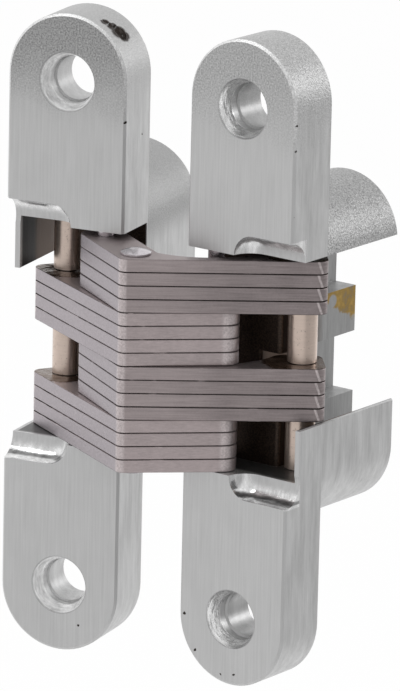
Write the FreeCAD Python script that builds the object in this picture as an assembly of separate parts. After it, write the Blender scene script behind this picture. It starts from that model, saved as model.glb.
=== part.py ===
import FreeCAD, Part
import os
from math import cos, radians, sin, sqrt, tan

# Concealed door hinge: two cast leaves joined by stacked link plates that cross at one centre pin.
# Millimetres. X runs across the left leaf towards the links, Y runs into the leaf and Z runs up it.
# The pieces are drawn from the middle of that leaf's front face.
# At the end they move so that the origin is in the back face of its plate, where the screws leave it.

V = FreeCAD.Vector
UP = V(0, 0, 1)

# Leaf casting: a round-ended screw plate with a deeper round-ended body behind it
leaf_length = 95.25
leaf_width = 18.6
leaf_thickness = 8.5
leaf_bevel = 0.35
body_length = 49.2
body_depth = 26.2
body_bevel = 0.6

# Screw holes: a cone for the screw head, a short throat and the bore
screw_spacing = 75.4
screw_rim_r = 4.33
screw_cone_depth = 1.95
screw_throat_r = 3.5
screw_throat_depth = 3.3
screw_bore_r = 3.25

# Link plates: four groups of four, the groups taken in turn by the two links
plate_thickness = 1.92
plate_film = 0.06
plates_per_group = 4
group_count = 4
stack_headroom = 0.92

# Link outline, from the centre pin along the long arm
short_reach = 11.55
long_reach = 24.15
arm_angle = 108.3
short_half_width = 3.2
short_overrun = 3.4
long_outer_root = 3.3
long_outer_tip = 4.3
long_inner = 3.6
long_overrun = 3.15
apex_r = 1.1
knee_r = 1.5
crotch_r = 2.0
end_outer_r = 1.5
end_inner_r = 2.0
scallop_r = 12.0
scallop_along = 10.6
scallop_clearance = 0.17

# Linkage: where the fixed pin stands in its leaf and how the links share the turn
pin_side = 5.6
pin_depth = 2.1
closed_gap = 4.1
closed_lean = 2.7
turn_share = 0.6935
rest_angle = 166.7
full_angle = 180.0

# Pins and sleeves
fixed_pin_r = 1.2
fixed_pin_seat = 4.0
slide_pin_r = 1.25
slide_pin_seat = 2.3
centre_pin_r = 1.5
rivet_head_r = 2.2
rivet_head_height = 0.8
rivet_head_edge = 0.25
pin_bevel = 0.2
sleeve_r = 2.15
running_clearance = 0.05
sleeve_end_clearance = 0.1

# Pocket in the leaf
block_front = 8.2
wall_front = 3.0
arm_room_side = 1.85
slot_clearance = 0.3
slot_floor_clearance = 0.2
slot_knee_angle = 105.0
slot_hook_angle = 135.0
sleeve_side_clearance = 0.13
link_side_clearance = 0.15
block_corner_r = 0.6
cove_r = 3.2
cove_end = 0.95

# Heights worked out from the stack
plate_count = plates_per_group * group_count
plate_pitch = plate_thickness + plate_film
group_height = plates_per_group * plate_pitch
stack_height = plate_count * plate_pitch - plate_film
pocket_height = stack_height + plate_film + stack_headroom
pocket_floor = -pocket_height / 2
pocket_ceiling = pocket_height / 2
stack_bottom = pocket_floor + plate_film
stack_top = stack_bottom + stack_height

# Reach of the cutting shapes past the faces that they open, and how near a picked edge has to lie
past = 1.0
near = 0.01


def turned(vector, angle):
    return FreeCAD.Rotation(UP, angle).multVec(vector)


def corner_at(opening):
    # The centre pin swings about the left leaf's fixed pin.
    drop = pin_depth + closed_gap / 2
    closed = V(-sqrt(short_reach ** 2 - drop ** 2), -drop, 0)
    return V(pin_side, pin_depth, 0) + turned(closed, turn_share * opening)


def tip_at(opening):
    # The slide pin at the end of the long arm, seen from the left leaf.
    lean = radians(closed_lean)
    closed = V(sin(lean), cos(lean), 0) * long_reach
    return corner_at(opening) + turned(closed, (1 - turn_share) * opening)


def mirrored(point, opening):
    # The right leaf's side is the left one's image in the plane midway between the leaves.
    half = radians(opening / 2)
    normal = V(-sin(half), cos(half), 0)
    return point - normal * (2 * (point - corner_at(opening)).dot(normal))


track_steps = 36
tip_track = [tip_at(full_angle * step / track_steps) for step in range(track_steps + 1)]
track_outer = -min(point.x for point in tip_track)
track_inner = -max(point.x for point in tip_track)

left_pin = V(pin_side, pin_depth, 0)
centre = corner_at(rest_angle)
left_tip = tip_at(rest_angle)
right_pin = mirrored(left_pin, rest_angle)
right_tip = mirrored(left_tip, rest_angle)
right_origin = mirrored(V(0, 0, 0), rest_angle)
half_turn = 180.0
right_turn = rest_angle - half_turn

# Pocket sizes that follow the moving pieces
outer_face = leaf_width / 2
wall_inner_face = track_outer + sleeve_r + sleeve_side_clearance
block_side = track_inner - sleeve_r - sleeve_side_clearance


def group_bottom(group):
    # Group 1 is the top one, and the last group lies on the pocket floor.
    return stack_bottom + (group_count - group) * group_height


def group_top(group):
    return group_bottom(group) + group_height - plate_film


def rounded_chain(points, radii):
    # Edges from the first point to the last, with an arc at each inner point that has a radius.
    edges = []
    start = points[0]
    for index in range(1, len(points) - 1):
        corner = points[index]
        back = (points[index - 1] - corner).normalize()
        ahead = (points[index + 1] - corner).normalize()
        radius = radii[index - 1]
        if radius > 0:
            half_angle = back.getAngle(ahead) / 2
            trim = radius / tan(half_angle)
            middle = (back + ahead).normalize()
            first = corner + back * trim
            last = corner + ahead * trim
            crown = corner + middle * (radius / sin(half_angle) - radius)
            edges.append(Part.LineSegment(start, first).toShape())
            edges.append(Part.Arc(first, crown, last).toShape())
            start = last
        else:
            edges.append(Part.LineSegment(start, corner).toShape())
            start = corner
    edges.append(Part.LineSegment(start, points[-1]).toShape())
    return edges


def closed_face(points, radii):
    # A rounded polygon. The seam is put in the middle of the first side.
    seam = (points[0] + points[-1]) * 0.5
    return Part.Face(Part.Wire(rounded_chain([seam] + points + [seam], radii)))


def plan_prism(corners, bottom, top):
    # A plan outline given as (x, y, radius), raised between two heights.
    points = [V(x, y, bottom) for x, y, radius in corners]
    radii = [radius for x, y, radius in corners]
    return closed_face(points, radii).extrude(V(0, 0, top - bottom))


def stadium(length, width, depth):
    # A round-ended plate that stands in the XZ plane and runs back along Y.
    half = width / 2
    rise = length / 2 - half
    right_side = Part.LineSegment(V(half, 0, -rise), V(half, 0, rise)).toShape()
    top_round = Part.Arc(V(half, 0, rise), V(0, 0, length / 2), V(-half, 0, rise)).toShape()
    left_side = Part.LineSegment(V(-half, 0, rise), V(-half, 0, -rise)).toShape()
    low_round = Part.Arc(V(-half, 0, -rise), V(0, 0, -length / 2), V(half, 0, -rise)).toShape()
    outline = Part.Wire([right_side, top_round, left_side, low_round])
    return Part.Face(outline).extrude(V(0, depth, 0))


def rim_edges(solid, level, axis):
    # The edges that lie wholly in one plane across the given axis.
    found = []
    for edge in solid.Edges:
        box = edge.BoundBox
        low, high = (box.YMin, box.YMax) if axis == "Y" else (box.ZMin, box.ZMax)
        if abs(low - level) < near and abs(high - level) < near:
            found.append(edge)
    return found


def upright_edges(solid, place):
    # The edges that stand upright at one place in plan.
    found = []
    for edge in solid.Edges:
        upright = edge.BoundBox.XLength < near and edge.BoundBox.YLength < near
        if upright and (edge.CenterOfMass - place).cross(UP).Length < near:
            found.append(edge)
    return found


def turned_piece(profile):
    # A round piece about Z from (radius, height) points that start and end on the axis.
    points = [V(radius, 0, height) for radius, height in profile]
    outline = Part.makePolygon(points + [points[0]])
    return Part.Face(outline).revolve(V(0, 0, 0), UP, 360)


def screw_hole(height):
    deep = leaf_thickness + past
    profile = [
        (0, -past),
        (screw_rim_r, -past),
        (screw_rim_r, 0),
        (screw_throat_r, screw_cone_depth),
        (screw_throat_r, screw_throat_depth),
        (screw_bore_r, screw_throat_depth + (screw_throat_r - screw_bore_r)),
        (screw_bore_r, deep),
        (0, deep),
    ]
    hole = turned_piece(profile)
    hole.rotate(V(0, 0, 0), V(1, 0, 0), -90)
    hole.translate(V(0, 0, height))
    return hole


def cove(height):
    # A ball-ended scoop across the mouth of the pocket, open at the outer side.
    ball_x = cove_end - cove_r
    length = outer_face + past + ball_x
    groove = Part.makeCylinder(cove_r, length, V(-outer_face - past, 0, height), V(1, 0, 0))
    return groove.fuse(Part.makeSphere(cove_r, V(ball_x, 0, height)))


def arc_slot(first, middle, last, half_width, height):
    # A round-ended slot whose middle line is the arc through three points.
    centre_line = Part.Arc(first, middle, last).toShape()
    hub = centre_line.Curve.Center
    ends = []
    for place, other in ((first, last), (last, first)):
        out = (place - hub).normalize()
        beyond = (out.cross(UP)).normalize()
        if beyond.dot(other - place) > 0:
            beyond = beyond * -1
        ends.append((place + out * half_width, place + beyond * half_width, place - out * half_width))
    out = (middle - hub).normalize() * half_width
    (start_out, start_cap, start_in), (end_out, end_cap, end_in) = ends
    outline = Part.Wire([
        Part.Arc(start_out, middle + out, end_out).toShape(),
        Part.Arc(end_out, end_cap, end_in).toShape(),
        Part.Arc(end_in, middle - out, start_in).toShape(),
        Part.Arc(start_in, start_cap, start_out).toShape(),
    ])
    return Part.Face(outline).extrude(V(0, 0, height))


def straight_slot(first, last, half_width, height):
    # A round-ended slot between two points.
    end = (last - first).normalize() * half_width
    side = end.cross(UP)
    outline = Part.Wire([
        Part.LineSegment(first + side, last + side).toShape(),
        Part.Arc(last + side, last + end, last - side).toShape(),
        Part.LineSegment(last - side, first - side).toShape(),
        Part.Arc(first - side, first - end, first + side).toShape(),
    ])
    return Part.Face(outline).extrude(V(0, 0, height))


def slide_slot(floor):
    # The slide pin's track is a long arc and then a short hook.
    height = slide_pin_seat + slot_floor_clearance + past
    half_width = slide_pin_r + slot_clearance
    knee_point = tip_at(slot_knee_angle)
    hook = tip_at(slot_hook_angle)
    slot = arc_slot(tip_at(0), tip_at(slot_knee_angle / 2), knee_point, half_width, height)
    slot = slot.fuse(straight_slot(knee_point, hook, half_width, height))
    slot = slot.fuse(straight_slot(hook, tip_at(full_angle), half_width, height))
    return slot.removeSplitter().translated(V(0, 0, floor))


def leaf_casting():
    plate = stadium(leaf_length, leaf_width, leaf_thickness)
    plate = plate.makeChamfer(leaf_bevel, rim_edges(plate, 0, "Y"))
    body = stadium(body_length, leaf_width, body_depth)
    body = body.makeChamfer(body_bevel, rim_edges(body, body_depth, "Y"))
    inset = leaf_bevel + past
    body = body.common(Part.makeBox(leaf_width, body_depth, body_length,
                                    V(-leaf_width / 2, inset, -body_length / 2)))
    casting = plate.fuse(body).removeSplitter()

    # Heights taken by the long arms of either leaf, which is the same casting turned over
    upper_low = min(group_bottom(2), -group_top(3)) - link_side_clearance
    upper_high = max(group_top(2), -group_bottom(3)) + link_side_clearance
    lower_high = max(group_top(4), -group_bottom(1)) + link_side_clearance
    side = outer_face + past
    back = body_depth + past
    walled = [
        (-side, -past, 0), (side, -past, 0), (side, block_front, 0),
        (-block_side, block_front, block_corner_r), (-block_side, back, 0),
        (-wall_inner_face, back, 0), (-wall_inner_face, wall_front, 0), (-side, wall_front, 0),
    ]
    blocked = [
        (-side, -past, 0), (side, -past, 0), (side, block_front, 0),
        (-block_side, block_front, block_corner_r), (-block_side, back, 0), (-side, back, 0),
    ]
    arm_room = [
        (-side, -past, 0), (side, -past, 0), (side, block_front, 0),
        (arm_room_side, block_front, block_corner_r), (arm_room_side, back, 0), (-side, back, 0),
    ]
    cuts = [
        slide_slot(pocket_ceiling - past),
        slide_slot(pocket_floor - slide_pin_seat - slot_floor_clearance),
        plan_prism(walled, upper_high, pocket_ceiling),
        plan_prism(arm_room, upper_low, upper_high),
        plan_prism(blocked, lower_high, upper_low),
        plan_prism(arm_room, pocket_floor, lower_high),
        cove(pocket_ceiling),
        cove(pocket_floor),
        screw_hole(screw_spacing / 2),
        screw_hole(-screw_spacing / 2),
        fixed_pin_bore(),
    ]
    for cut in cuts:
        casting = casting.cut(cut)
    return casting.removeSplitter()


def fixed_pin_bore():
    half_length = pocket_ceiling + fixed_pin_seat
    return Part.makeCylinder(fixed_pin_r, 2 * half_length, left_pin - V(0, 0, half_length))


def pin_rod(radius, half_length, place):
    # A round pin centred in height, with a bevel at each end.
    profile = [
        (0, -half_length),
        (radius - pin_bevel, -half_length),
        (radius, pin_bevel - half_length),
        (radius, half_length - pin_bevel),
        (radius - pin_bevel, half_length),
        (0, half_length),
    ]
    rod = turned_piece(profile)
    rod.translate(place)
    return rod


def passing_pin_offset():
    # Where the left leaf's fixed pin stands across the arm with the hinge fully open.
    corner = corner_at(full_angle)
    along = (tip_at(full_angle) - corner).normalize()
    return along.cross(left_pin - corner).z


def link_plate():
    # Local frame: the centre pin at the origin, the slide pin along X, the leaf's outer side at +Y.
    slope = (long_outer_tip - long_outer_root) / long_reach
    end_x = long_reach + long_overrun
    arm = turned(V(1, 0, 0), -arm_angle)
    across = V(-arm.y, arm.x, 0)
    left_foot = across * -short_half_width
    apex_run = (long_outer_root + slope * left_foot.x - left_foot.y) / (slope * arm.x - arm.y)
    apex = left_foot - arm * apex_run
    arm_end = arm * (short_reach + short_overrun)

    # The scallop's crown keeps clear of the other leaf's fixed pin with the hinge fully open.
    crown_y = passing_pin_offset() + fixed_pin_r + scallop_clearance
    scallop_centre = V(scallop_along, crown_y - scallop_r, 0)
    knee_run = sqrt(scallop_r ** 2 - (long_inner + scallop_centre.y) ** 2)
    knee = V(scallop_along + knee_run, -long_inner, 0)
    foot = across * short_half_width
    offset = foot - scallop_centre
    along = offset.dot(arm)
    reach = sqrt(along ** 2 - offset.dot(offset) + scallop_r ** 2)
    crotch = foot - arm * (along + reach)
    points = [
        crotch,
        foot + arm_end,
        arm_end - foot,
        apex,
        V(end_x, long_outer_root + slope * end_x, 0),
        V(end_x, -long_inner, 0),
        knee,
    ]
    radii = [end_inner_r, end_inner_r, apex_r, end_outer_r, end_inner_r]
    edges = rounded_chain(points, radii)
    edges.append(Part.Arc(knee, scallop_centre + V(0, scallop_r, 0), crotch).toShape())
    plate = Part.Face(Part.Wire(edges)).extrude(V(0, 0, plate_thickness))
    plate = plate.makeFillet(crotch_r, upright_edges(plate, crotch))
    plate = plate.makeFillet(knee_r, upright_edges(plate, knee))
    for radius, place in ((centre_pin_r, V(0, 0, 0)), (fixed_pin_r, arm * short_reach),
                          (slide_pin_r, V(long_reach, 0, 0))):
        hole = Part.makeCylinder(radius + running_clearance, plate_thickness, place)
        plate = plate.cut(hole)
    return plate


def placed_plate(plate, start, end, turned_over, bottom):
    copy = plate.copy()
    if turned_over:
        copy.rotate(V(0, 0, plate_thickness / 2), V(1, 0, 0), half_turn)
    direction = end - start
    copy.Placement = FreeCAD.Placement(
        V(start.x, start.y, bottom), FreeCAD.Rotation(V(1, 0, 0), direction)
    ).multiply(copy.Placement)
    return copy


def centre_rivet():
    # A shaft through every plate with a low domed head closed over each end.
    low = stack_bottom - plate_film
    high = stack_top + plate_film
    cap = rivet_head_height - rivet_head_edge
    ball_r = (rivet_head_r ** 2 + cap ** 2) / (2 * cap)
    dome_x = rivet_head_r / 2
    dome_rise = rivet_head_height - ball_r + sqrt(ball_r ** 2 - dome_x ** 2)
    low_edge = low - rivet_head_edge
    high_edge = high + rivet_head_edge
    low_crown = V(0, 0, low - rivet_head_height)
    high_crown = V(0, 0, high + rivet_head_height)
    edges = [
        Part.Arc(low_crown, V(dome_x, 0, low - dome_rise), V(rivet_head_r, 0, low_edge)),
        Part.LineSegment(V(rivet_head_r, 0, low_edge), V(rivet_head_r, 0, low)),
        Part.LineSegment(V(rivet_head_r, 0, low), V(centre_pin_r, 0, low)),
        Part.LineSegment(V(centre_pin_r, 0, low), V(centre_pin_r, 0, high)),
        Part.LineSegment(V(centre_pin_r, 0, high), V(rivet_head_r, 0, high)),
        Part.LineSegment(V(rivet_head_r, 0, high), V(rivet_head_r, 0, high_edge)),
        Part.Arc(V(rivet_head_r, 0, high_edge), V(dome_x, 0, high + dome_rise), high_crown),
        Part.LineSegment(high_crown, low_crown),
    ]
    rivet = Part.Face(Part.Wire([edge.toShape() for edge in edges])).revolve(V(0, 0, 0), UP, 360)
    rivet.translate(centre)
    return rivet


def sleeve(bottom, top, place):
    # A loose collar on a slide pin, which keeps the groups of plates apart.
    low = bottom + sleeve_end_clearance
    height = top - bottom - 2 * sleeve_end_clearance
    tube = Part.makeCylinder(sleeve_r, height, place + V(0, 0, low))
    bore = Part.makeCylinder(slide_pin_r + running_clearance, height, place + V(0, 0, low))
    return tube.cut(bore)


os.makedirs("parts", exist_ok=True)

left_leaf = leaf_casting()
right_leaf = left_leaf.copy()
right_leaf.rotate(V(0, 0, 0), V(0, 1, 0), half_turn)
right_leaf.rotate(V(0, 0, 0), UP, right_turn)
right_leaf.translate(right_origin)
nodes = {"left_leaf": left_leaf, "right_leaf": right_leaf}

# Groups 1 and 3 belong to the link that turns on the left leaf's pin, groups 2 and 4 to the other.
plate = link_plate()
for group in range(1, group_count + 1):
    on_left = group % 2 == 1
    end = right_tip if on_left else left_tip
    link = "a" if on_left else "b"
    for place_in_group in range(plates_per_group):
        bottom = group_bottom(group) + place_in_group * plate_pitch
        number = plates_per_group - place_in_group
        name = f"link_{link}_group_{group}_plate_{number}"
        nodes[name] = placed_plate(plate, centre, end, on_left, bottom)

nodes["centre_pin"] = centre_rivet()
fixed_half = pocket_ceiling + fixed_pin_seat
slide_half = pocket_ceiling + slide_pin_seat
nodes["left_fixed_pin"] = pin_rod(fixed_pin_r, fixed_half, left_pin)
nodes["right_fixed_pin"] = pin_rod(fixed_pin_r, fixed_half, right_pin)
nodes["left_slide_pin"] = pin_rod(slide_pin_r, slide_half, left_tip)
nodes["right_slide_pin"] = pin_rod(slide_pin_r, slide_half, right_tip)

# Each slide pin carries a sleeve at the heights where the other link has no arm
nodes["left_upper_sleeve"] = sleeve(group_top(2), pocket_ceiling, left_tip)
nodes["left_lower_sleeve"] = sleeve(group_top(4), group_bottom(2), left_tip)
nodes["right_upper_sleeve"] = sleeve(group_top(3), group_bottom(1), right_tip)
nodes["right_lower_sleeve"] = sleeve(pocket_floor, group_bottom(3), right_tip)

to_plate_back = V(0, -leaf_thickness, 0)
for name, shape in nodes.items():
    solid = shape.Solids[0].translated(to_plate_back)
    solid.exportStep(f"parts/{name}.step")
    print(name, solid.isValid(), len(shape.Solids), round(solid.Volume, 2))
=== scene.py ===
from math import cos, radians, sin

import bpy
from mathutils import Matrix, Vector, noise


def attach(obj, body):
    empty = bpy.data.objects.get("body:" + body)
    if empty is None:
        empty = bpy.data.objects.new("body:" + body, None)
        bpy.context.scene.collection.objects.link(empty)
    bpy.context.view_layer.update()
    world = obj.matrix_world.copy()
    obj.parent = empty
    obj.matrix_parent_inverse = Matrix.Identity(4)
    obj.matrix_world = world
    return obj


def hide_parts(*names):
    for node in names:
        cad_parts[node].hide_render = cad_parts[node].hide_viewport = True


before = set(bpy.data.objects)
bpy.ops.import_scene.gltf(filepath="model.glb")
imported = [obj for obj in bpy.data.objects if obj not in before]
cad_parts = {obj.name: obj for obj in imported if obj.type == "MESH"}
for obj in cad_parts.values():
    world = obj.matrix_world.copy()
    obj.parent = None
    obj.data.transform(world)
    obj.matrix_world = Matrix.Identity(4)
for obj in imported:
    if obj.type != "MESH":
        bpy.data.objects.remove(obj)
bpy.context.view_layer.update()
bpy.ops.object.select_all(action="DESELECT")
mm = 0.001

# The middle of each leaf's front face, and how far the right leaf is turned
front_middle = Vector((0.0, -8.5 * mm, 0.0))
right_middle = Vector((28.966 * mm, -11.877 * mm, 0.0))
right_turn = radians(-13.3)

# The two links: the pin that they share, the way each points, and the plates in the stack
centre_pin = (14.001 * mm, -14.326 * mm, 0)
link_a_turn = radians(28.3)
link_b_turn = radians(138.4)
plate_pitch = 1.98 * mm
stack_half = 16.27 * mm
spare_plates = 10
slide_pin_reach = 24.15 * mm
far_corner_reach = 26.45 * mm

# The screw holes, measured in a leaf from the middle of its front face
screw_height = 37.7 * mm
cone_radius = 4.33 * mm

# Camera: the photograph is taken from far away with a long lens
view_azimuth = radians(23.75)
view_height = radians(15.13)
view_roll = radians(1.31)
view_distance = 876.42 * mm
view_right = 19.86 * mm
view_up = -1.34 * mm
focal_pixels = 6053.13
picture_height = 691
sensor = 36.0
farthest_seen = 20.0

# How the room's light falls off with direction: from, to, and the strengths there
front_dimming = (-1.0, 0.3, 0.77, 1.0)
right_dimming = (0.45, 0.85, 1.0, 0.5)
floor_depth = 150 * mm
floor_size = 16
floor_whiteness = 0.92


def add_camera():
    back = Vector((sin(view_azimuth) * cos(view_height),
                   -cos(view_azimuth) * cos(view_height),
                   sin(view_height)))
    level = Vector((cos(view_azimuth), sin(view_azimuth), 0.0))
    rise = back.cross(level)
    across = cos(view_roll) * level + sin(view_roll) * rise
    upward = -sin(view_roll) * level + cos(view_roll) * rise
    place = front_middle + back * view_distance + across * view_right + upward * view_up
    bpy.ops.object.camera_add(location=place)
    camera = bpy.context.object
    turn = Matrix((across, upward, back)).transposed()
    camera.rotation_euler = turn.to_euler()
    camera.data.sensor_width = sensor
    camera.data.lens = focal_pixels * sensor / picture_height
    camera.data.clip_end = farthest_seen
    bpy.context.scene.camera = camera


class Socket:
    """A shader socket, on which sums and products add the Math nodes."""

    def __init__(self, nodes, link):
        self.nodes = nodes
        self.link = link

    def math(self, operation, first, second):
        return self.nodes.add("ShaderNodeMath", {"operation": operation}, {0: first, 1: second})

    def __add__(self, other):
        return self.math("ADD", self, other)

    def __radd__(self, other):
        return self.math("ADD", other, self)

    def __sub__(self, other):
        return self.math("SUBTRACT", self, other)

    def __rsub__(self, other):
        return self.math("SUBTRACT", other, self)

    def __mul__(self, other):
        return self.math("MULTIPLY", self, other)

    def __rmul__(self, other):
        return self.math("MULTIPLY", other, self)

    def __truediv__(self, other):
        return self.math("DIVIDE", self, other)

    def __rtruediv__(self, other):
        return self.math("DIVIDE", other, self)


class Nodes:
    """The nodes of one material or of the world, and the shader that they feed."""

    def __init__(self, tree, shader):
        self.tree = tree
        self.shader = tree.nodes[shader]

    def add(self, kind, settings, values, output=0):
        node = self.tree.nodes.new(kind)
        for name, setting in settings.items():
            setattr(node, name, setting)
        for key, value in values.items():
            if isinstance(value, Socket):
                self.tree.links.new(value.link, node.inputs[key])
            else:
                node.inputs[key].default_value = value
        return Socket(self, node.outputs[output])

    def feed(self, socket, value):
        self.tree.links.new(value.link, self.shader.inputs[socket])

    def place(self, location=(0, 0, 0), rotation=(0, 0, 0)):
        # A point of the object, seen from a place and direction in it.
        here = self.add("ShaderNodeTexCoord", {}, {}, "Object")
        return self.add("ShaderNodeMapping", {"vector_type": "TEXTURE"},
                        {"Vector": here, "Location": location, "Rotation": rotation})

    def stretched(self, vector, scale):
        return self.add("ShaderNodeMapping", {}, {"Vector": vector, "Scale": scale})

    def axis(self, vector, name):
        return self.add("ShaderNodeSeparateXYZ", {}, {"Vector": vector}, name)

    def point(self, x=0.0, y=0.0, z=0.0):
        return self.add("ShaderNodeCombineXYZ", {}, {0: x, 1: y, 2: z})

    def vectors(self, operation, first, second, output="Vector"):
        return self.add("ShaderNodeVectorMath", {"operation": operation},
                        {0: first, 1: second}, output)

    def toward(self, direction):
        # How far the surface faces in one direction.
        normal = self.add("ShaderNodeTexCoord", {}, {}, "Normal")
        return self.vectors("DOT_PRODUCT", normal, direction, "Value")

    def noise(self, vector, size, detail=3.0, rough=0.55):
        return self.add("ShaderNodeTexNoise", {},
                        {"Vector": vector, "Scale": 1 / size, "Detail": detail,
                         "Roughness": rough})

    def step(self, value, low, high, start=0.0, end=1.0):
        # A smooth change from start to end while the value goes from low to high.
        return self.add("ShaderNodeMapRange", {"interpolation_type": "SMOOTHSTEP"},
                        {"Value": value, "From Min": low, "From Max": high,
                         "To Min": start, "To Max": end})

    def until(self, value, low, high):
        # One up to the low value, and nothing beyond the high one.
        return self.step(value, low, high, 1.0, 0.0)

    def larger(self, value, other):
        return self.add("ShaderNodeMath", {"operation": "MAXIMUM"}, {0: value, 1: other})

    def size_of(self, value):
        return self.add("ShaderNodeMath", {"operation": "ABSOLUTE"}, {0: value})

    def distance(self, vector, centre):
        return self.vectors("DISTANCE", vector, centre, "Value")

    def spot(self, vector, centre, inner, outer):
        # One within the inner distance of a point, and nothing beyond the outer one.
        return self.until(self.distance(vector, centre), inner, outer)

    def blend(self, factor, first, second):
        return self.add("ShaderNodeMix", {"data_type": "RGBA"},
                        {0: factor, 6: first, 7: second}, 2)

    def shade(self, colour, level):
        # A colour made lighter or darker by a number that changes over the surface.
        return self.vectors("MULTIPLY", colour[:3], self.point(level, level, level))

    def bump(self, height, distance):
        normal = self.add("ShaderNodeBump", {}, {"Height": height, "Distance": distance})
        self.feed("Normal", normal)

    def room_light(self, direction):
        # The strength of the room's light from a direction: less in front and on the far right.
        front = self.step(self.axis(direction, "Y"), *front_dimming)
        right = self.step(self.axis(direction, "X"), *right_dimming)
        return front * right


class Finish(Nodes):
    """One material, with the shader's constants by socket name."""

    def __init__(self, name, constants):
        self.material = bpy.data.materials.new(name)
        self.material.use_nodes = True
        super().__init__(self.material.node_tree, "Principled BSDF")
        for socket, value in constants.items():
            self.shader.inputs[socket].default_value = value


def tone(red, green, blue):
    # The working colour for a colour given as it looks, 0 to 255.
    def working(part):
        part /= 255
        return part / 12.92 if part <= 0.04045 else ((part + 0.055) / 1.055) ** 2.4
    return (working(red), working(green), working(blue), 1.0)


# Colours of the castings
satin_plating = tone(197, 197, 197)
edge_highlight_tone = tone(236, 236, 236)
grease_and_pocket_shade = tone(24, 21, 20)
brown_grease = tone(92, 75, 63)
cone_rim_shade = tone(70, 70, 70)
pit_shade = tone(52, 46, 42)
golden_stain = tone(160, 130, 62)

# Colours of the plates, pins, sleeves and floor
rolled_steel = tone(164, 153, 153)
sheared_steel = tone(172, 166, 171)
corner_glint = tone(206, 196, 196)
joint_dark = tone(40, 31, 31)
thin_grease = tone(98, 80, 68)
warm_nickel = tone(214, 196, 184)
bright_steel = tone(205, 200, 204)
white_paper = tone(249, 249, 249)


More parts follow.
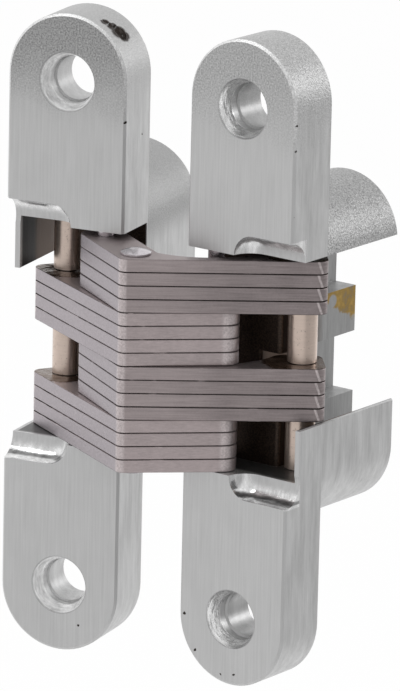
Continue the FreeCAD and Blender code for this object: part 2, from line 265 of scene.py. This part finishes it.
def satin_leaf(name, turn, origin, side):
    """Satin plating on a casting: brushed along its length, grainy at its upper rounded ends,
    with painted highlights in its scoops and screw cones, and painted shade with old grease inside
    its pocket.
    The side is 1 for the left leaf, and -1 for the right one, which is turned over."""
    finish = Finish(name, {"Metallic": 0.8, "Specular IOR Level": 0.5})
    here = finish.place(origin, (0, 0, turn))
    across = finish.axis(here, "X") * side
    depth = finish.axis(here, "Y")
    upward = finish.axis(here, "Z")
    rise = finish.size_of(upward)
    streaks = finish.noise(finish.stretched(here, (1, 1, 0.03)), 0.3 * mm, 3.0)
    smears = finish.noise(finish.stretched(here, (1, 1, 0.16)), 1.4 * mm, 4.0, 0.65)
    grain = finish.noise(here, 0.25 * mm, 2.0, 0.6)
    cloud = finish.noise(here, 6 * mm, 2.0)
    front = finish.toward((sin(turn), -cos(turn), 0))
    flat_front = finish.step(front, 0.8, 0.97)

    # Grain lies on the upper rounded ends of the plate and of the body behind it
    ends = finish.step(upward + (cloud - 0.5) * 10 * mm, 30 * mm, 44 * mm)
    body_end = (finish.step(depth, 8.4 * mm, 8.8 * mm)
                * finish.step(upward, 12 * mm, 17 * mm))
    grainy = finish.larger(ends, body_end)
    brushed = 1.0 - grainy
    flank = (1.0 - flat_front) * finish.step(depth, 0.3 * mm, 0.6 * mm)
    speckle = (grain - 0.5) * (1.2 - 0.4 * side + flat_front * (0.8 + 0.6 * side)
                               + body_end * (0.3 - 0.3 * side))
    level = (1.0 + (streaks - 0.5) * 0.3 * brushed + speckle * grainy
             + (smears - 0.5) * 0.7 * flank * brushed + (cloud - 0.5) * 0.1)
    level = level * (1.0 - ends * flat_front * (0.29 + 0.09 * side))
    level = level * (1.0 - finish.larger(body_end * 0.32, ends * flank * 0.16))

    # The pocket: painted shade over its inside, darkest with dark grease behind its mouth, browner
    # grease further in, and the dark fading out towards its open back
    inside = (finish.step(depth, 3.2 * mm, 4.2 * mm)
              * finish.until(rise, 16.25 * mm, 16.4 * mm)
              * finish.until(across, 9.1 * mm, 9.2 * mm)
              * finish.step(across, -8.8 * mm, -8.7 * mm))
    clean = finish.step(depth + (smears - 0.5) * 5 * mm, 14 * mm, 19 * mm)
    brown = finish.step(depth + (grain - 0.5) * 2 * mm, 7.5 * mm, 9.5 * mm)
    grease = finish.blend(brown, grease_and_pocket_shade, brown_grease)

    # The scoops at the pocket's mouth get a painted highlight over the faces' tone, and the lower
    # ones a band of painted dark reflection
    scoop = (finish.step(rise, 16.2 * mm, 16.4 * mm)
             * finish.until(rise, 19.6 * mm, 19.7 * mm)
             * finish.until(depth, 3.3 * mm, 3.4 * mm) * (1.0 - flat_front)
             * finish.until(across, 1.2 * mm, 1.3 * mm))
    dark_reflection_band = (finish.step(rise + (cloud - 0.5) * mm, 18.5 * mm, 18.8 * mm)
              * finish.until(rise, 19.1 * mm, 19.3 * mm)
              * finish.until(upward, -1 * mm, 0.0))

    # The screw cones get a painted highlight too, with the rings that their cutter left
    plan = finish.point(x=across, z=rise)
    screw = (0, 0, screw_height)
    hole = finish.spot(plan, screw, cone_radius, cone_radius + 0.03 * mm) * (1.0 - flat_front)
    cone = hole * finish.until(depth, 1.9 * mm, 2.1 * mm)
    from_axis = finish.distance(plan, screw)
    rings = finish.noise(finish.point(from_axis, across * 0.12, rise * 0.12),
                         0.22 * mm, 2.0, 0.6)
    # Painted highlights on the scoops and cones, a painted dark band in the lower scoops, and the
    # bores painted lighter on the left leaf and darker on the right as painted light and shade
    level = level * (1.0 + scoop * (0.35 - dark_reflection_band * 0.85 + (smears - 0.5) * 1.2)
                     + cone * (0.75 + (rings - 0.5) * 2.2) + (hole - cone) * (0.1 * side))
    # Painted shade darkens the plating inside the pocket, and painted shade with grease covers it
    # up to the open back
    plating = finish.shade(satin_plating, level * (1.0 - inside * 0.36))
    colour = finish.blend(inside * (1.0 - clean), plating, grease)

    # A painted highlight along the rounded edge round the top, and a painted shade line where a
    # cone meets its face
    edge = finish.until(depth, 0.3 * mm, 0.36 * mm) * finish.until(front, 0.9, 0.97)
    bright = finish.shade(edge_highlight_tone, 1.0 + (grain - 0.5) * 1.2)
    colour = finish.blend(edge * ends * 0.8, colour, bright)
    outline = (finish.until(from_axis, 4.25 * mm, 4.5 * mm)
               * finish.step(from_axis, 4.2 * mm, 4.3 * mm))
    colour = finish.blend(outline * 0.45, colour, cone_rim_shade)
    # Painted shade in the void and the pits
    dents = casting_pits(finish, here, side)
    colour = finish.blend(dents, colour, pit_shade)
    if side < 0:
        colour = stained_block(finish, colour, across, depth, upward)
    finish.feed("Base Color", colour)
    finish.feed("Metallic", 0.8 - cone * (0.3 + 0.25 * side))
    finish.feed("Roughness", 0.42 + (grain - 0.5) * 0.2 - finish.larger(scoop, cone) * 0.26)
    finish.bump(streaks * brushed * 0.35 + grain * grainy * (1.0 - cone) * 2.4
                + smears * flank * 0.5 + rings * cone * 1.5 - dents * 3.0, 0.035 * mm)
    return finish.material


# The painted shade in the casting's void and its small pits: place in the leaf and radius, in
# millimetres
left_marks = [((4.6, 2.8, 46.6), 0.75), ((5.5, 3.2, 45.9), 0.9), ((6.4, 3.5, 45.1), 1.3),
              ((7.1, 4.0, 44.5), 1.05), ((9.3, 0.2, 32.8), 0.22), ((9.3, 5.9, 30.0), 0.18),
              ((3.2, 0.0, -43.5), 0.2), ((-4.4, 0.0, 6.0), 0.2)]
right_marks = [((9.3, 0.1, 23.4), 0.18), ((9.3, 21.2, -7.8), 0.3), ((9.2, 0.3, 36.5), 0.19),
               ((9.3, 0.2, 33.0), 0.17), ((-8.3, 0.0, -38.5), 0.25),
               ((-6.2, 0.0, -43.6), 0.22), ((-1.5, 0.0, -46.3), 0.22),
               ((0.8, 0.0, -45.9), 0.2)]
mark_squeeze = 0.6


def casting_pits(finish, here, side):
    # The marks have ragged outlines and reach deeper than they are wide.
    ragged = (finish.noise(here, 0.6 * mm, 3.0) - 0.5) * 0.9 * mm
    nudged = finish.vectors("ADD", here, finish.point(x=ragged, z=ragged))
    squeezed = finish.vectors("MULTIPLY", nudged, (1, mark_squeeze, 1))
    total = 0.0
    for (across, depth, height), radius in (left_marks if side > 0 else right_marks):
        centre = (across * mm, depth * mark_squeeze * mm, height * mm)
        mark = finish.spot(squeezed, centre, radius * 0.7 * mm, radius * mm)
        total = finish.larger(mark, total)
    return total


def stained_block(finish, colour, across, depth, upward):
    """The block's side by the open back: a golden stain round a clean grey spot."""
    block_side = -1.709 * mm
    plane = finish.until(finish.size_of(across - block_side), 0.05 * mm, 0.1 * mm)
    blotch = finish.noise(finish.place(), 1.3 * mm, 4.0, 0.6)
    lower = (depth - 19.5 * mm) * -0.5 + 5.8 * mm + (blotch - 0.5) * 3 * mm
    area = (plane * finish.step(upward - lower, -0.4 * mm, 0.3 * mm)
            * finish.step(depth, 18.0 * mm, 19.2 * mm)
            * finish.until(upward, 8.8 * mm, 9.0 * mm))
    clean_spot = finish.spot(finish.point(y=depth, z=upward), (0, 20.6 * mm, 6.0 * mm),
                             0.8 * mm, 1.1 * mm)
    gold = finish.shade(golden_stain, 1.0 + (blotch - 0.5) * 2.0)
    cover = finish.step(blotch, 0.3, 0.5, 0.7, 0.95)
    return finish.blend(area * (1.0 - clean_spot) * cover, colour, gold)


def link_metal(name, turn, outward, end_glint):
    """Rolled plates: a mauve grey with fine grain along each plate, a dark line where one plate
    lies on the next, and brown grease on the tops near the sleeves. Outward is 1 where the
    plate's outer side lies to the left of its long arm, and -1 where it lies to the right."""
    finish = Finish(name, {"Metallic": 0.75, "Specular IOR Level": 0.5})
    here = finish.place(centre_pin, (0, 0, turn))
    along = finish.axis(here, "X")
    outer = finish.axis(here, "Y") * outward
    height = finish.axis(here, "Z") + (stack_half + spare_plates * plate_pitch)
    streaks = finish.noise(finish.stretched(here, (0.035, 0.2, 1)), 0.2 * mm, 3.0)
    grain = finish.noise(here, 0.3 * mm, 3.0, 0.7)
    cloud = finish.noise(here, 3.5 * mm, 3.0)
    up_facing = finish.toward((0, 0, 1))
    upright = finish.until(finish.size_of(up_facing), 0.4, 0.6)
    plate = finish.add("ShaderNodeMath", {"operation": "FLOOR"}, {0: height / plate_pitch})
    batch = finish.add("ShaderNodeTexWhiteNoise", {"noise_dimensions": "1D"}, {"W": plate},
                       "Value")
    # Link B's plates are painted lighter than link A's as painted light, and link A's far arm gets
    # a painted shade
    far_shade = finish.step(along, 3 * mm, 14 * mm) * (0.11 - 0.11 * outward)
    level = (1.0 + (streaks - 0.5) * 0.6 * upright + (grain - 0.5) * 0.3 + (cloud - 0.5) * 0.25
             + (batch - 0.5) * 0.12 - far_shade + 0.13 + 0.13 * outward)
    steel = finish.shade(rolled_steel, level)

    # The sheared side of the short arm is cooler, lighter and speckled
    short_side = finish.step(finish.toward((-0.686, -0.727, 0)), 0.9, 0.98)
    sheared = finish.shade(sheared_steel, 1.0 + (grain - 0.5) * 0.9)
    steel = finish.blend(short_side * 0.8, steel, sheared)

    # Glints on the bend by the centre pin, on the long arm's far corner and on the short end
    plan = finish.point(along, outer)
    glint = finish.shade(corner_glint, 1.0 + (grain - 0.5) * 1.4)
    bend = finish.spot(plan, (-2.1 * mm, 2.9 * mm, 0), 0.5 * mm, 0.9 * mm) * upright
    steel = finish.blend(bend * 0.7, steel, glint)
    in_plate = finish.add("ShaderNodeMath", {"operation": "MODULO"}, {0: height, 1: plate_pitch})
    corner = finish.size_of(along - far_corner_reach + in_plate * 0.35)
    corner = (finish.until(corner, 0.1 * mm, 0.24 * mm) * upright
              * finish.step(outer, 2.0 * mm, 2.5 * mm))
    steel = finish.blend(corner * 0.9, steel, glint)
    reach = along * -0.314 - outer * 0.949
    short_end = (finish.step(reach, 12.0 * mm, 12.7 * mm)
                 * finish.until(reach, 13.6 * mm, 14.7 * mm))
    steel = finish.blend(short_end * upright * end_glint, steel, glint)

    # The dark joint between two plates, broken where they are pressed together
    gap = finish.add("ShaderNodeMath", {"operation": "PINGPONG"}, {0: height, 1: plate_pitch / 2})
    pressed = finish.noise(finish.stretched(here, (1, 1, 0.4)), 3.0 * mm, 2.0)
    joint = (finish.until(gap, 0.05 * mm, 0.14 * mm) * upright
             * finish.step(pressed, 0.3, 0.4))
    colour = finish.blend(joint, steel, joint_dark)

    # Grease round the slide pin
    smear = (finish.spot(plan, (slide_pin_reach, 0, 0), 3.5 * mm, 7.5 * mm)
             + (cloud - 0.5) * 0.8)
    greasy = finish.step(smear, 0.25, 0.6) * finish.step(up_facing, 0.6, 0.8)
    grease = finish.shade(thin_grease, 1.0 + (cloud - 0.5) * 1.5)
    finish.feed("Base Color", finish.blend(greasy, colour, grease))
    finish.feed("Roughness", 0.42 + (grain - 0.5) * 0.25 + joint * 0.3 - greasy * 0.25)
    rounded = finish.step(gap, 0.0, 0.22 * mm)
    finish.bump(streaks * 0.3 * upright + grain * 0.5 + rounded * upright * 2.0
                + cloud * greasy * 12.0, 0.03 * mm)
    return finish.material


def sleeve_nickel(name):
    """Warm plated sleeves with small dull marks."""
    finish = Finish(name, {"Metallic": 0.85})
    here = finish.place()
    grain = finish.noise(here, 0.4 * mm, 4.0, 0.7)
    marks = finish.step(grain, 0.6, 0.68)
    rings = finish.noise(finish.stretched(here, (0.1, 0.1, 1)), 0.3 * mm, 2.0)
    level = 1.0 - marks * 0.35 + (rings - 0.5) * 0.2
    finish.feed("Base Color", finish.shade(warm_nickel, level))
    finish.feed("Roughness", 0.3 + marks * 0.3)
    finish.bump(grain, 0.01 * mm)
    return finish.material


def bright_pin(name):
    """Bright plated steel with small dull marks."""
    finish = Finish(name, {"Metallic": 0.95})
    grain = finish.noise(finish.place(), 0.4 * mm, 4.0, 0.7)
    marks = finish.step(grain, 0.56, 0.66)
    finish.feed("Base Color", finish.shade(bright_steel, 1.0 - marks * 0.25))
    finish.feed("Roughness", 0.2 + marks * 0.25)
    finish.bump(grain, 0.01 * mm)
    return finish.material


def dress(names, material):
    for name in names:
        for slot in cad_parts[name].material_slots:
            slot.material = material


def select_only(piece):
    bpy.ops.object.select_all(action="DESELECT")
    piece.select_set(True)
    bpy.context.view_layer.objects.active = piece


def welded_copy(node, name):
    # A new piece with a node's shape, its loose triangles joined and its flat faces made whole.
    piece = bpy.data.objects.new(name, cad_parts[node].data.copy())
    bpy.context.collection.objects.link(piece)
    select_only(piece)
    bpy.ops.mesh.customdata_custom_splitnormals_clear()
    bpy.ops.object.mode_set(mode="EDIT")
    bpy.ops.mesh.select_all(action="SELECT")
    bpy.ops.mesh.remove_doubles(threshold=0.001 * mm)
    bpy.ops.mesh.dissolve_limited(angle_limit=radians(0.5))
    bpy.ops.object.mode_set(mode="OBJECT")
    return piece


def apply_all(piece):
    select_only(piece)
    for modifier in list(piece.modifiers):
        bpy.ops.object.modifier_apply(modifier=modifier.name)


def finish_shading(piece):
    # Smooth over the rounded parts, flat over the flat faces.
    select_only(piece)
    bpy.ops.object.shade_smooth_by_angle(angle=radians(40))
    weighted = piece.modifiers.new("even_faces", "WEIGHTED_NORMAL")
    weighted.keep_sharp = True
    apply_all(piece)


def stand_for(piece, node, body, material):
    piece.data.materials.clear()
    piece.data.materials.append(material)
    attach(piece, body)
    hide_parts(node)


def add_soft_plate(node, body, material):
    # A stamped plate whose rims are broken by a small round.
    piece = welded_copy(node, node + "_soft")
    rims = piece.modifiers.new("rims", "BEVEL")
    rims.width = 0.13 * mm
    rims.segments = 2
    rims.limit_method = "ANGLE"
    rims.angle_limit = radians(60)
    apply_all(piece)
    finish_shading(piece)
    stand_for(piece, node, body, material)


# The lumps that cut the casting void: place in the leaf and radii in millimetres, tilt in
# degrees, and where each takes its roughness from
void_lumps = {"void_core": ((6.75, 3.7, 45.1), (1.55, 1.1, 0.95), 48, 0.0),
              "void_tail": ((5.0, 2.9, 46.7), (1.3, 0.8, 0.7), 35, 7.0)}


def add_void_lump(name, place, radii, tilt, shift):
    # One lump, rough like torn metal.
    bpy.ops.mesh.primitive_ico_sphere_add(subdivisions=4, radius=1 * mm, location=(0, 0, 0))
    lump = bpy.context.object
    lump.name = name
    for point in lump.data.vertices:
        swell = 1 + 0.28 * noise.noise(point.co / (0.55 * mm) + Vector((shift, 0, 0)))
        point.co = Vector([part * radius for part, radius in zip(point.co * swell, radii)])
    lump.data.transform(Matrix.Rotation(radians(tilt), 4, "Y"))
    lump.data.transform(Matrix.Translation(front_middle + Vector([part * mm for part in place])))
    return lump


def add_left_casting(material):
    # The left leaf with the void that its casting left in the upper end.
    piece = welded_copy("left_leaf", "left_leaf_with_void")
    lumps = [add_void_lump(name, *shape) for name, shape in void_lumps.items()]
    for lump in lumps:
        select_only(piece)
        cut = piece.modifiers.new(lump.name, "BOOLEAN")
        cut.operation = "DIFFERENCE"
        cut.solver = "EXACT"
        cut.object = lump
        apply_all(piece)
        bpy.data.objects.remove(lump)
    finish_shading(piece)
    stand_for(piece, "left_leaf", "left_leaf_body", material)


def add_floor():
    # White paper under the hinge that dims in front and on the far right, as the room does.
    bpy.ops.mesh.primitive_plane_add(size=floor_size, location=(0, 0, -floor_depth))
    floor = bpy.context.object
    floor.name = "floor"
    finish = Finish("white_floor", {"Roughness": 0.9})
    speck = finish.noise(finish.place(), 40 * mm)
    finish.feed("Base Color", finish.shade(white_paper, 1.0 + (speck - 0.5) * 0.01))
    camera_ray = finish.add("ShaderNodeLightPath", {}, {}, "Is Camera Ray")
    glossy_ray = finish.add("ShaderNodeLightPath", {}, {}, "Is Glossy Ray")
    clear_ray = finish.add("ShaderNodeLightPath", {}, {}, "Is Transmission Ray")
    seen = finish.larger(finish.larger(camera_ray, glossy_ray), clear_ray)
    below = finish.vectors("SUBTRACT", finish.place(), (0, 0, floor_depth))
    outward = finish.add("ShaderNodeVectorMath", {"operation": "NORMALIZE"}, {0: below})
    white = finish.shade((1.0, 1.0, 1.0), finish.room_light(outward))
    glow = finish.add("ShaderNodeEmission", {}, {"Color": white, "Strength": 1.0})
    surface = Socket(finish, finish.shader.outputs[0])
    mixed = finish.add("ShaderNodeMixShader", {}, {0: seen * floor_whiteness, 1: surface, 2: glow})
    output = finish.tree.nodes["Material Output"]
    finish.tree.links.new(mixed.link, output.inputs["Surface"])
    floor.data.materials.append(finish.material)


def add_world():
    # A soft white room light that is dimmer in front and on the far right.
    world = bpy.data.worlds.new("studio")
    bpy.context.scene.world = world
    world.use_nodes = True
    room = Nodes(world.node_tree, "Background")
    direction = room.add("ShaderNodeTexCoord", {}, {}, "Generated")
    room.feed("Strength", room.room_light(direction))
    room.shader.inputs["Color"].default_value = (1, 1, 1, 1)


def add_lamp(name, place, watts):
    bpy.ops.object.light_add(type="AREA", location=place)
    lamp = bpy.context.object
    lamp.name = name
    lamp.data.shape = "RECTANGLE"
    lamp.data.size = 0.25
    lamp.data.size_y = 0.25
    lamp.data.energy = watts
    aim = Vector((10 * mm, 0.0, 0.0)) - Vector(place)
    lamp.rotation_euler = aim.to_track_quat("-Z", "Y").to_euler()


add_camera()
add_world()
add_floor()
add_lamp("top_softbox", (-0.35, -0.21, 0.77), 0.8)
add_lamp("back_softbox", (0.64, 0.56, 0.285), 1.0)

left_finish = satin_leaf("satin_left_leaf", 0, front_middle, 1.0)
dress(["left_leaf"], left_finish)
add_left_casting(left_finish)
dress(["right_leaf"], satin_leaf("satin_right_leaf", right_turn, right_middle, -1.0))
groups = {1: "a", 2: "b", 3: "a", 4: "b"}
link_finishes = {"a": link_metal("link_a_steel", link_a_turn, -1.0, 0.0),
                 "b": link_metal("link_b_steel", link_b_turn, 1.0, 0.75)}
for group, link in groups.items():
    for plate in range(1, 5):
        node = f"link_{link}_group_{group}_plate_{plate}"
        dress([node], link_finishes[link])
        add_soft_plate(node, f"link_{link}_body", link_finishes[link])
pins = ["centre_pin", "left_fixed_pin", "right_fixed_pin", "left_slide_pin", "right_slide_pin"]
sleeves = ["left_upper_sleeve", "left_lower_sleeve", "right_upper_sleeve", "right_lower_sleeve"]
dress(pins, bright_pin("bright_pin_steel"))
dress(sleeves, sleeve_nickel("warm_sleeve_nickel"))

bpy.context.scene.view_settings.view_transform = "Standard"
